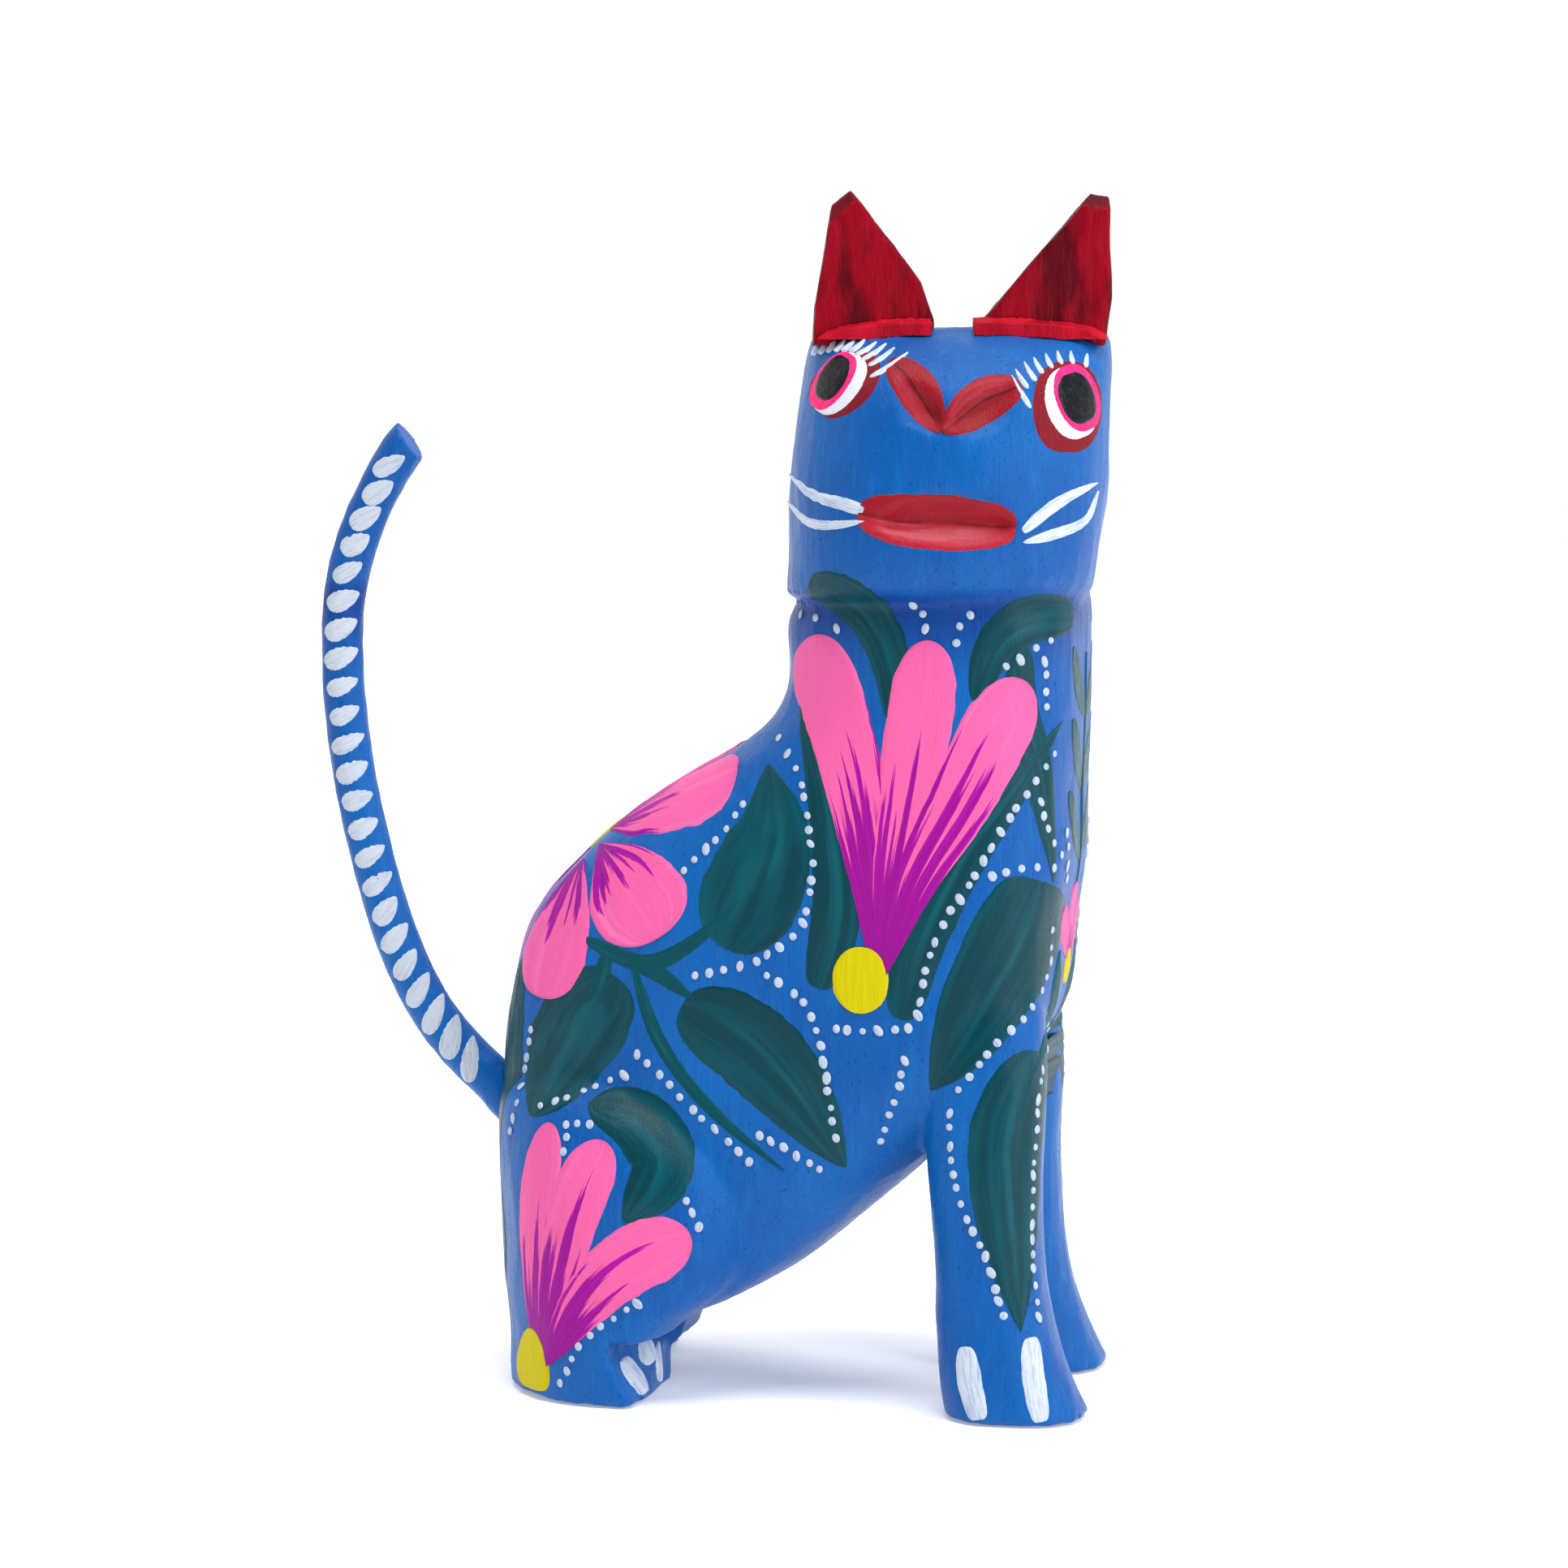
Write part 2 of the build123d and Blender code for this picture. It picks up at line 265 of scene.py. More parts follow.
def front_panel(surface):
    """A way to find the chest from a point on a panel in front of it."""
    def find(across, height):
        return onto(surface, Vector((across, -PANEL_REACH, height)), Vector((0, 1, 0)))
    return find


def reflected(find, surface, setback=0.0):
    """The mirror image of another way, on the figure's left side."""
    def find_mirrored(across, height):
        place = find(across, height)[0]
        return nearest(surface, Vector((-place.x, place.y + setback, place.z)))
    return find_mirrored


# ---------------------------------------------------------------- strokes

def on_panel(points):
    """A panel's points, given as across and height, as vectors."""
    return [Vector((across, height, 0)) for across, height in points]


def length_of(line):
    return sum((b - a).length for a, b in zip(line, line[1:]))


def smooth_line(points, shares):
    """Points at shares of the length of a smooth curve through the given ones."""
    if len(points) == 2:
        points = [points[0], (points[0] + points[1]) / 2, points[1]]
    ends = [points[0] * 2 - points[1], *points, points[-1] * 2 - points[-2]]
    fine = []
    for a, b, c, d in zip(ends, ends[1:], ends[2:], ends[3:]):
        for step in range(12):
            t = step / 12
            fine.append(0.5 * (2 * b + (c - a) * t + (2 * a - 5 * b + 4 * c - d) * t * t
                               + (3 * b - a - 3 * c + d) * t * t * t))
    fine.append(points[-1])
    lengths = [0.0]
    for a, b in zip(fine, fine[1:]):
        lengths.append(lengths[-1] + (b - a).length)
    return [along_line(fine, lengths, lengths[-1] * share) for share in shares]


def along_line(fine, lengths, distance):
    """The point at a distance along a line, given how far along it each of its points is."""
    for index in range(1, len(fine)):
        if lengths[index] >= distance:
            span = lengths[index] - lengths[index - 1]
            share = (distance - lengths[index - 1]) / span if span else 0
            return fine[index - 1].lerp(fine[index], share)
    return fine[-1]


class Paint:
    """A coat of one colour on one body, gathered from many strokes."""

    coats = []

    def __init__(self, name, material, body, slot, coat):
        self.name, self.material, self.body, self.slot = name, material, body, slot
        self.lift = COAT + COAT_STEP * coat
        self.points, self.faces, self.along, self.seeds = [], [], [], []
        self.coats.append(self)

    def add_grid(self, rows, ups):
        """A grid of points with their places on the stroke's own map."""
        first, width = len(self.points), len(rows[0])
        seed = rng.random()
        for row, up in zip(rows, ups):
            self.points += row
            self.along += up
            self.seeds += [seed] * width
        for line in range(len(rows) - 1):
            for column in range(width - 1):
                corner = first + line * width + column
                self.faces.append((corner, corner + width, corner + width + 1, corner + 1))

    def build(self):
        """Makes the coat's mesh, with each stroke's own map and random number for its material."""
        mesh = bpy.data.meshes.new(self.name)
        mesh.from_pydata([point * MM for point in self.points], [], self.faces)
        layer = mesh.uv_layers.new(name="stroke")
        for loop in mesh.loops:
            layer.data[loop.index].uv = self.along[loop.vertex_index]
        seeds = mesh.attributes.new("seed", "FLOAT", "POINT")
        seeds.data.foreach_set("value", self.seeds)
        shade_smooth(mesh)
        mesh.materials.append(self.material)
        link(self.name, mesh, self.body)


def stroke_profile(length, start, end, peak):
    """Shares of a stroke's length and of its width there, with rows close together at both ends.

    start and end say how sharp its ends are: 0.5 is blunt, 1 round and 2 pointed.
    peak is where along it the stroke is widest.
    """
    count = max(8, int(length / STROKE_STEP))
    profile = []
    for step in range(count + 1):
        angle = pi * step / count
        first_half = angle <= pi / 2
        share = peak * (1 - cos(angle)) if first_half else 1 - (1 - peak) * (1 + cos(angle))
        profile.append((share, max(sin(angle), 0.0) ** (start if first_half else end)))
    return profile


def lay_rows(paint, profile, length, width, find, mapped, wobble):
    """Spreads each row of a stroke to its width and turns the stroke to face out of the wood.

    find gives the wood at a row and a distance sideways.
    """
    columns = max(4, 2 * int(width / STROKE_STEP / 2 + 1))
    shift = rng.random() * 50
    rows, ups = [], []
    for index, (share, breadth) in enumerate(profile):
        half = width / 2 * breadth
        row, up = [], []
        for column in range(columns + 1):
            side = 2 * column / columns - 1
            shake = noise.noise(Vector((share * length * 0.5, shift + 2 * side, 0)))
            place, normal = find(index, side * half * (1 + wobble * shake))
            at_edge = abs(side) > 0.999 or index in (0, len(profile) - 1)
            row.append(place + normal * (-EDGE_SINK if at_edge else paint.lift))
            up.append((share, side) if mapped else (share * length, side * half))
        rows.append(row)
        ups.append(up)
    middle, centre = len(rows) // 2, columns // 2
    across = rows[middle][centre + 1] - rows[middle][centre]
    facing = (rows[middle + 1][centre] - rows[middle][centre]).cross(across)
    if facing.dot(find(middle, 0.0)[1]) < 0:
        rows = [row[::-1] for row in rows]
        ups = [up[::-1] for up in ups]
    paint.add_grid(rows, ups)


def stroke(paint, find_wood, points, width, start=1.0, end=1.0, peak=0.5, mapped=False,
           wobble=STROKE_WOBBLE):
    """Lays a brush stroke, drawn on a panel, straight onto the wood.

    mapped makes the stroke's own map run from 0 to 1 along it and -1 to 1 across, for petals and leaves.
    """
    flat = on_panel(points)
    length = length_of(flat)
    profile = stroke_profile(length, start, end, peak)
    middles = smooth_line(flat, [share for share, _ in profile])

    def find(index, sideways):
        after, before = middles[min(index + 1, len(middles) - 1)], middles[max(index - 1, 0)]
        along = (after - before).normalized()
        spot = middles[index] + Vector((-along.y, along.x, 0)) * sideways
        return find_wood(spot.x, spot.y)

    lay_rows(paint, profile, length, width, find, mapped, wobble)


def wrapped_stroke(paint, surface, line, width, start=1.0, end=1.0, peak=0.5, mapped=False):
    """Lays a brush stroke that follows the wood round a corner, along a line of points near the wood."""
    length = length_of(line)
    profile = stroke_profile(length, start, end, peak)
    found = [nearest(surface, middle) for middle in smooth_line(line, [share for share, _ in profile])]

    def find(index, sideways):
        place, normal = found[index]
        along = found[min(index + 1, len(found) - 1)][0] - found[max(index - 1, 0)][0]
        return nearest(surface, place + normal.cross(along).normalized() * sideways)

    lay_rows(paint, profile, length, width, find, mapped, STROKE_WOBBLE)


def dot(paint, surface, point, radius, stretch=1.0, turn=0.0):
    """A small domed drop of thick paint."""
    place, normal = nearest(surface, point)
    right = normal.cross(Vector((0.1, 0.2, 1))).normalized()
    up = normal.cross(right)
    rows, ups = [], []
    for reach, rise in ((0.0, 1.0), (0.45, 0.9), (0.8, 0.55), (1.0, -0.3)):
        row, along = [], []
        for step in range(11):
            angle = 2 * pi * step / 10
            x, y = cos(angle) * stretch, sin(angle)
            offset = right * (x * cos(turn) - y * sin(turn)) + up * (x * sin(turn) + y * cos(turn))
            spot, spot_normal = nearest(surface, place + offset * radius * reach)
            row.append(spot + spot_normal * (paint.lift + DOT_HEIGHT * rise))
            along.append((reach * x * radius, reach * y * radius))
        rows.append(row)
        ups.append(along)
    paint.add_grid(rows, ups)


def dotted(paint, find_wood, points, surface):
    """Dots set by hand along a line, a little uneven in size and spacing."""
    flat = on_panel(points)
    count = max(1, round(length_of(flat) / DOT_GAP))
    shares = [min(max((step + rng.uniform(-0.14, 0.14)) / count, 0), 1) for step in range(count + 1)]
    for spot in smooth_line(flat, shares):
        place = find_wood(spot.x + rng.uniform(-0.1, 0.1), spot.y + rng.uniform(-0.1, 0.1))[0]
        stretch = rng.choice((1.0, 1.1, 1.2, 1.5))
        dot(paint, surface, place, DOT_RADIUS * rng.uniform(0.82, 1.15), stretch, rng.uniform(1.0, 2.2))


# ---------------------------------------------------------------- materials

def srgb(*values):
    """Linear colour from the 0 to 255 values that a screen shows."""
    linear = [(v / 255 / 12.92) if v <= 10 else ((v / 255 + 0.055) / 1.055) ** 2.4 for v in values]
    return (*linear, 1.0)


def set_range(node, *numbers):
    """Sets the two ends that a Map Range node maps from and the two that it maps to."""
    for name, number in zip(("From Min", "From Max", "To Min", "To Max"), numbers):
        node.inputs[name].default_value = number


class Nodes:
    """A short way to wire a material's nodes."""

    def __init__(self, name, roughness, specular):
        self.material = bpy.data.materials.new(name)
        self.material.use_nodes = True
        self.tree = self.material.node_tree
        self.shader = self.tree.nodes["Principled BSDF"]
        self.shader.inputs["Roughness"].default_value = roughness
        self.shader.inputs["Specular IOR Level"].default_value = specular

    def node(self, kind, **values):
        node = self.tree.nodes.new("ShaderNode" + kind)
        for key, value in values.items():
            setattr(node, key, value)
        return node

    def join(self, source, target):
        self.tree.links.new(source, target)

    def place(self, scale, stretch=(1, 1, 1)):
        """Object coordinates in units of 1 / scale metres, stretched along the axes."""
        coordinates = self.node("TexCoord")
        mapping = self.node("Mapping")
        mapping.inputs["Scale"].default_value = [scale * s for s in stretch]
        self.join(coordinates.outputs["Object"], mapping.inputs["Vector"])
        return mapping.outputs["Vector"]

    def stroke_map(self, along, across):
        """A stroke's own coordinates, scaled along and across, different for each stroke."""
        x, y = self.stroke_parts()
        seed = self.node("Attribute", attribute_name="seed")
        x = self.math("MULTIPLY", x, along)
        y = self.math("MULTIPLY", y, across)
        z = self.math("MULTIPLY", seed.outputs["Fac"], 40.0)
        joined = self.node("CombineXYZ")
        self.join(x, joined.inputs["X"])
        self.join(y, joined.inputs["Y"])
        self.join(z, joined.inputs["Z"])
        return joined.outputs["Vector"]

    def stroke_parts(self):
        """Where a point lies along its stroke and across it."""
        uv = self.node("UVMap", uv_map="stroke")
        parts = self.node("SeparateXYZ")
        self.join(uv.outputs["UV"], parts.inputs["Vector"])
        return parts.outputs["X"], parts.outputs["Y"]

    def noise(self, vector, detail=3.0, rough=0.55):
        texture = self.node("TexNoise")
        texture.inputs["Scale"].default_value = 1.0
        texture.inputs["Detail"].default_value = detail
        texture.inputs["Roughness"].default_value = rough
        self.join(vector, texture.inputs["Vector"])
        return texture.outputs["Fac"]

    def paint_grain(self):
        """The fine grain of paint that was brushed onto wood."""
        return self.noise(self.place(PER_MM, (3.5, 3.5, 1.1)), 4.0, 0.6)

    def feed(self, socket, value):
        """Gives a socket a number or a colour, or joins another node's output to it."""
        if isinstance(value, (int, float, tuple)):
            socket.default_value = value
        else:
            self.join(value, socket)

    def math(self, operation, a, b):
        node = self.node("Math", operation=operation)
        self.feed(node.inputs[0], a)
        self.feed(node.inputs[1], b)
        return node.outputs["Value"]

    def ramp(self, value, low, high, start=0.0, stop=1.0):
        node = self.node("MapRange", interpolation_type="SMOOTHSTEP")
        set_range(node, low, high, start, stop)
        self.join(value, node.inputs["Value"])
        return node.outputs["Result"]

    def mix(self, factor, a, b):
        node = self.node("Mix", data_type="RGBA")
        for name, value in (("Factor", factor), ("A", a), ("B", b)):
            self.feed(node.inputs[name], value)
        return node.outputs["Result"]

    def bump(self, *layers):
        """Bump from pairs of a height and its depth in metres."""
        previous = None
        for height, depth in layers:
            bump = self.node("Bump")
            bump.inputs["Strength"].default_value = 1.0
            bump.inputs["Distance"].default_value = depth
            self.join(height, bump.inputs["Height"])
            if previous is not None:
                self.join(previous, bump.inputs["Normal"])
            previous = bump.outputs["Normal"]
        self.join(previous, self.shader.inputs["Normal"])

    def colour(self, value):
        self.join(value, self.shader.inputs["Base Color"])

    def rough(self, value):
        self.join(value, self.shader.inputs["Roughness"])


def blue_wood(name):
    """Satin blue acrylic brushed down the wood in lighter and darker streaks, with painted shade that deepens
    it under the chin.
    """
    m = Nodes(name, 0.3, 0.18)
    streaks = m.noise(m.place(PER_MM, (1.3, 1.3, 0.11)), 4.0, 0.6)
    clouds = m.noise(m.place(PER_MM, (0.05, 0.05, 0.03)), 3.0)
    grain = m.noise(m.place(PER_MM, (5.0, 5.0, 0.7)), 4.0, 0.65)
    pits = m.noise(m.place(PER_MM, (2.6, 2.6, 1.8)), 2.0)
    base = m.mix(m.ramp(clouds, 0.36, 0.66), srgb(0, 80, 156), srgb(0, 92, 168))
    base = m.mix(m.ramp(streaks, 0.5, 0.78, 0, 0.5), base, srgb(2, 108, 184))
    base = m.mix(m.ramp(streaks, 0.44, 0.22, 0, 0.5), base, srgb(0, 66, 142))
    parts = m.node("SeparateXYZ")
    m.join(m.place(PER_MM), parts.inputs["Vector"])
    height = parts.outputs["Z"]
    # painted shade: a band under the chin is mixed towards a deeper blue, where the head's shadow falls
    chin_shade = m.math("MULTIPLY", m.ramp(height, CHIN_SHADE_HEIGHTS[2], CHIN_SHADE_HEIGHTS[1]), m.ramp(height, *CHIN_SHADE_HEIGHTS[:2]))
    m.colour(m.mix(m.math("MULTIPLY", chin_shade, 0.75), base, srgb(0, 48, 128)))
    m.rough(m.ramp(grain, 0.3, 0.7, 0.26, 0.38))
    m.bump((streaks, 0.0001), (grain, 0.00009), (m.ramp(pits, 0.33, 0.25), -0.0002))
    return m.material


def red_wood(name, dark, light):
    """Brushed red paint with darker streaks that run down the wood."""
    m = Nodes(name, 0.36, 0.08)
    streaks = m.noise(m.place(PER_MM, (0.2, 0.2, 0.07)), 3.0, 0.5)
    fine = m.noise(m.place(PER_MM, (3.0, 3.0, 0.5)), 4.0, 0.6)
    base = m.mix(m.ramp(streaks, 0.4, 0.57), dark, light)
    m.colour(m.mix(m.ramp(fine, 0.55, 0.8, 0, 0.25), base, srgb(192, 8, 34)))
    m.rough(m.ramp(fine, 0.3, 0.7, 0.34, 0.52))
    m.bump((streaks, 0.0005), (fine, 0.00016))
    return m.material


def stroke_paint(name, base, light, dark):
    """Flat brushed paint whose streaks follow each stroke."""
    m = Nodes(name, 0.5, 0.1)
    streaks = m.noise(m.stroke_map(0.12, 2.2), 4.0, 0.6)
    grain = m.paint_grain()
    colour = m.mix(m.ramp(streaks, 0.5, 0.75, 0, 0.6), base, light)
    m.colour(m.mix(m.ramp(streaks, 0.46, 0.25, 0, 0.6), colour, dark))
    m.rough(m.ramp(grain, 0.3, 0.7, 0.43, 0.58))
    m.bump((streaks, 0.00012), (grain, 0.00012))
    return m.material


def crease_paint(name, shaded_upper, lit_lower, crease_shade, painted_highlight, highlight_strength):
    """Red in a carved leaf, with painted shade along the crease and on the upper half, which faces down, and
    a painted highlight on the lower half, which faces up.
    """
    m = Nodes(name, 0.4, 0.2)
    along, across = m.stroke_parts()
    streaks = m.noise(m.stroke_map(2.0, 3.0), 4.0, 0.6)
    grain = m.paint_grain()
    shaken = m.math("ADD", across, m.ramp(streaks, 0.3, 0.7, -0.08, 0.08))
    # painted shade: the upper half, which faces down, takes the darker red
    base = m.mix(m.ramp(shaken, -0.05, 0.05), lit_lower, shaded_upper)
    # painted highlight: the lower half, which faces up, is lightened in streaks
    low = m.math("MULTIPLY", m.ramp(across, -0.06, -0.3), m.ramp(across, -0.95, -0.6))
    ends = m.math("MULTIPLY", m.ramp(along, 0.04, 0.25), m.ramp(along, 0.97, 0.7))
    highlight_mask = m.math("MULTIPLY", m.math("MULTIPLY", low, ends), m.ramp(streaks, 0.35, 0.6, 0, highlight_strength))
    base = m.mix(highlight_mask, base, painted_highlight)
    # painted shade: a dark line along the crease
    line = m.ramp(m.math("ABSOLUTE", shaken, 0.0), 0.12, 0.0, 0.0, 0.8)
    m.colour(m.mix(line, base, crease_shade))
    m.rough(m.ramp(grain, 0.3, 0.7, 0.32, 0.5))
    m.bump((streaks, 0.00012), (grain, 0.00012))
    return m.material


def leaf_paint(name):
    """Deep green in fine streaks, wiped a little lighter along the middle of the leaf."""
    m = Nodes(name, 0.32, 0.16)
    along, across = m.stroke_parts()
    streaks = m.noise(m.stroke_map(0.9, 3.2), 4.0, 0.6)
    broad = m.noise(m.stroke_map(1.5, 1.1), 2.0)
    grain = m.paint_grain()
    wavering = m.math("ADD", across, m.ramp(broad, 0.3, 0.7, -0.2, 0.2))
    middle = m.ramp(m.math("ABSOLUTE", wavering, 0), 0.30, 0.0)
    ends = m.math("MULTIPLY", m.ramp(along, 0.05, 0.3), m.ramp(along, 0.98, 0.6))
    wiped = m.math("MULTIPLY", m.math("MULTIPLY", middle, ends), m.ramp(streaks, 0.3, 0.6, 0.25, 1.0))
    base = m.mix(m.ramp(streaks, 0.4, 0.66), srgb(0, 56, 66), srgb(0, 70, 82))
    base = m.mix(m.ramp(broad, 0.56, 0.75, 0, 0.5), base, srgb(0, 84, 102))
    m.colour(m.mix(m.math("MULTIPLY", wiped, 0.3), base, srgb(8, 108, 118)))
    m.rough(m.ramp(grain, 0.3, 0.7, 0.28, 0.42))
    m.bump((streaks, 0.00006), (grain, 0.00008))
    return m.material


def petal_paint(name, reach, gather, streaks):
    """Pink, with magenta dragged up from the base in dry-brush streaks that run furthest down the middle."""
    m = Nodes(name, 0.48, 0.14)
    along, across = m.stroke_parts()
    bands = m.noise(m.stroke_map(0.2, streaks), 2.0, 0.5)
    hairs = m.noise(m.stroke_map(0.5, 16.0), 3.0, 0.7)
    grain = m.noise(m.place(PER_MM, (3.0, 3.0, 1.4)), 4.0, 0.6)
    edge = m.math("ADD", m.ramp(bands, 0.32, 0.68, reach - 0.28, reach + 0.26),
                  m.ramp(hairs, 0.3, 0.7, -0.07, 0.08))
    sideways = m.math("MULTIPLY", m.math("ABSOLUTE", across, 0.0), gather)
    edge = m.math("SUBTRACT", edge, sideways)
    magenta = m.ramp(m.math("SUBTRACT", edge, along), -0.012, 0.03)
    pink = m.mix(m.ramp(bands, 0.5, 0.8, 0, 0.55), srgb(230, 94, 158), srgb(238, 128, 182))
    pink = m.mix(m.ramp(hairs, 0.62, 0.8, 0, 0.35), pink, srgb(222, 88, 168))
    deep = m.mix(m.ramp(hairs, 0.4, 0.65), srgb(138, 0, 132), srgb(168, 0, 154))
    m.colour(m.mix(magenta, pink, deep))
    m.rough(m.ramp(grain, 0.3, 0.7, 0.4, 0.55))
    m.bump((hairs, 0.00012), (grain, 0.00012))
    return m.material


def dry_white(name, cover, thin, thick):
    """White paint, bluer where the brush ran dry."""
    m = Nodes(name, 0.5, 0.2)
    streaks = m.noise(m.stroke_map(0.35, 3.5), 4.0, 0.65)
    grain = m.noise(m.place(PER_MM, (3.0, 3.0, 3.0)), 3.0, 0.6)
    m.colour(m.mix(m.ramp(streaks, cover, cover + 0.22), thin, thick))
    m.rough(m.ramp(grain, 0.3, 0.7, 0.42, 0.6))
    m.bump((streaks, 0.00022), (grain, 0.00012))
    return m.material


def pupil_paint(name):
    """Glossy black, with faint blue-grey brush arcs that are also a painted reflection of the gloss."""
    m = Nodes(name, 0.2, 0.2)
    brush_and_gloss_arcs = m.noise(m.stroke_map(1.2, 1.2), 4.0, 0.6)
    # painted reflection: lighter blue-grey arcs stand for the gloss on the pupil
    m.colour(m.mix(m.ramp(brush_and_gloss_arcs, 0.55, 0.75, 0, 0.6), srgb(6, 8, 14), srgb(34, 44, 58)))
    m.bump((brush_and_gloss_arcs, 0.0002))
    return m.material


BLUE = blue_wood("blue_paint")
TAIL_BLUE = blue_wood("blue_tail_paint")
EAR_RED = red_wood("red_paint", srgb(84, 0, 16), srgb(138, 0, 24))
# a darker copy of the ear's red: painted shade for faces that turn away from the viewer
EAR_SHADE_RED = red_wood("red_edge_shade", srgb(62, 4, 16), srgb(100, 2, 22))
BEAD_RED = red_wood("red_paste", srgb(150, 4, 28), srgb(182, 14, 40))
# the mouth's and nose's red, with painted shade in the crease and on the upper half and a painted highlight
# on the lower half
MOUTH_RED = crease_paint(
    "mouth_red", srgb(146, 8, 30), srgb(168, 24, 44), srgb(112, 2, 20), srgb(190, 82, 96), 0.8)
NOSE_RED = crease_paint(
    "nose_red", srgb(140, 10, 28), srgb(146, 16, 34), srgb(64, 2, 16), srgb(170, 50, 66), 0.5)
SURROUND_RED = stroke_paint("surround_red", srgb(122, 22, 34), srgb(140, 36, 46), srgb(96, 14, 26))
EYE_PINK = stroke_paint("eye_pink", srgb(255, 40, 120), srgb(255, 82, 130), srgb(240, 20, 110))
EYE_WHITE = dry_white("eye_white", 0.1, srgb(200, 206, 220), srgb(220, 224, 232))
EYE_BLACK = pupil_paint("eye_black")
LEAF = leaf_paint("leaf_green")
STEM = stroke_paint("stem_green", srgb(0, 70, 80), srgb(16, 96, 104), srgb(0, 58, 70))
LONG_PETAL = petal_paint("long_petal_pink", 0.62, 0.12, 3.0)
HAUNCH_PETAL = petal_paint("haunch_petal_pink", 0.66, 0.42, 2.4)
SHORT_PETAL = petal_paint("short_petal_pink", 0.36, 0.16, 3.2)
YELLOW = stroke_paint("flower_yellow", srgb(198, 184, 0), srgb(212, 198, 6), srgb(178, 164, 0))
WHITE = dry_white("stroke_white", 0.32, srgb(160, 182, 214), srgb(206, 214, 226))
DOT_WHITE = dry_white("dot_white", 0.3, srgb(142, 164, 202), srgb(186, 196, 214))
DROP_WHITE = dry_white("drop_white", 0.3, srgb(160, 178, 198), srgb(194, 202, 214))


# ---------------------------------------------------------------- the wood

BODY_SLOT, TAIL_SLOT = "blue_painted_wood", "blue_painted_tail"

body_wood, body_surface = carved_piece("carved_body", "figure", BODY_VOXEL, 7.0, 0.16, 0.06)
body_wood.data.materials.append(BLUE)
tail_wood, tail_surface = carved_piece("tail", "tail", SMALL_VOXEL, 3.2, 0.08, 0.04)
tail_wood.data.materials.append(TAIL_BLUE)


def ear_piece(node):
    """An ear: red on the face that looks out over the cat's face, a darker red of painted shade on the faces
    round its edges that turn away, blue behind.
    """
    obj, _ = carved_piece(node, "figure", SMALL_VOXEL, 4.5, 0.18, 0.07)
    obj.data.materials.append(EAR_RED)
    obj.data.materials.append(EAR_SHADE_RED)
    obj.data.materials.append(BLUE)
    _, out = panel_axes(1)
    for polygon in obj.data.polygons:
        facing = polygon.normal.dot(out)
        if facing > EAR_FRONT:
            polygon.material_index = 0
        # faces turned partly away from the viewer take the darker red, painted shade
        elif facing > EAR_SHADED:
            polygon.material_index = 1
        else:
            polygon.material_index = 2


def bead_piece(node, holes):
    """A lumpy bead of wood paste, pricked with small holes at shares of its length."""
    mesh = remeshed_copy(node, BEAD_VOXEL)
    low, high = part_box(node)
    lumps = [Vector((rng.random(), rng.random(), rng.random())) * 9 for _ in range(2)]
    pits = []
    for share in holes:
        top = Vector((low.x, low.y + (high.y - low.y) * share, high.z)) / MM
        pits.append(top - Vector((0, 0, PIT_BELOW_TOP)))

    def lumpy_height(point):
        rough = noise.noise(point * 0.5 + lumps[0]) * 0.16 + noise.noise(point * 1.6 + lumps[1]) * 0.07
        pricked = sum(exp(-((point - pit).length / PIT_RADIUS) ** 2) for pit in pits)
        return rough - BEAD_SINK - PIT_DEPTH * pricked

    _, out = panel_axes(1)
    points = raised(mesh, lumpy_height)
    foremost = min(point.dot(out) for point in points) + BEAD_FRONT
    for point in points:
        point -= out * max(0.0, point.dot(out) - foremost)
        point.z = max(point.z, BEAD_LOWEST)
    set_points(mesh, points, node)
    obj = stand_in("paste_" + node, mesh, node, "figure")
    obj.data.materials.append(BEAD_RED)


ear_piece("right_ear")
ear_piece("left_ear")
bead_piece("right_ear_bead", [])
bead_piece("left_ear_bead", [0.22, 0.42, 0.55, 0.8, 0.9])


# ---------------------------------------------------------------- the paint

def figure_paint(name, material, coat):
    """A coat of paint on the carved figure; the later its number, the further out it lies."""
    return Paint("paint_" + name, material, "figure", BODY_SLOT, coat)


leaves = figure_paint("leaves", LEAF, 0)
stems = figure_paint("stems", STEM, 1)
long_petals = figure_paint("long_petals", LONG_PETAL, 2)
short_petals = figure_paint("short_petals", SHORT_PETAL, 2)
haunch_petals = figure_paint("haunch_petals", HAUNCH_PETAL, 2)
yellows = figure_paint("flower_hearts", YELLOW, 4)
whites = figure_paint("white_strokes", WHITE, 3)
dots = figure_paint("dots", DOT_WHITE, 1)
surrounds = figure_paint("eye_surrounds", SURROUND_RED, 0)
eye_whites = figure_paint("eye_whites", EYE_WHITE, 1)
eye_rings = figure_paint("eye_rings", EYE_PINK, 2)
pupils = figure_paint("pupils", EYE_BLACK, 3)
lips = figure_paint("mouth", MOUTH_RED, 2)
noses = figure_paint("nose", NOSE_RED, 2)
tail_drops = Paint("paint_tail_drops", DROP_WHITE, "tail", TAIL_SLOT, 0)

near = side_panel(body_surface)
far = reflected(near, body_surface)
far_leg = reflected(near, body_surface, FAR_LEG_SETBACK)
FLANKS = (near, far)
LEGS = (near, far_leg)


def petals(paint, places, petal_list, end=1.0):
    """Petals that widen from the flower's heart to a round tip: points, width and where it is widest."""
    for points, width, peak in petal_list:
        paint.lift += PETAL_STEP
        for place in places:
            stroke(paint, place, points, width, start=1.9, end=end, peak=peak, mapped=True)


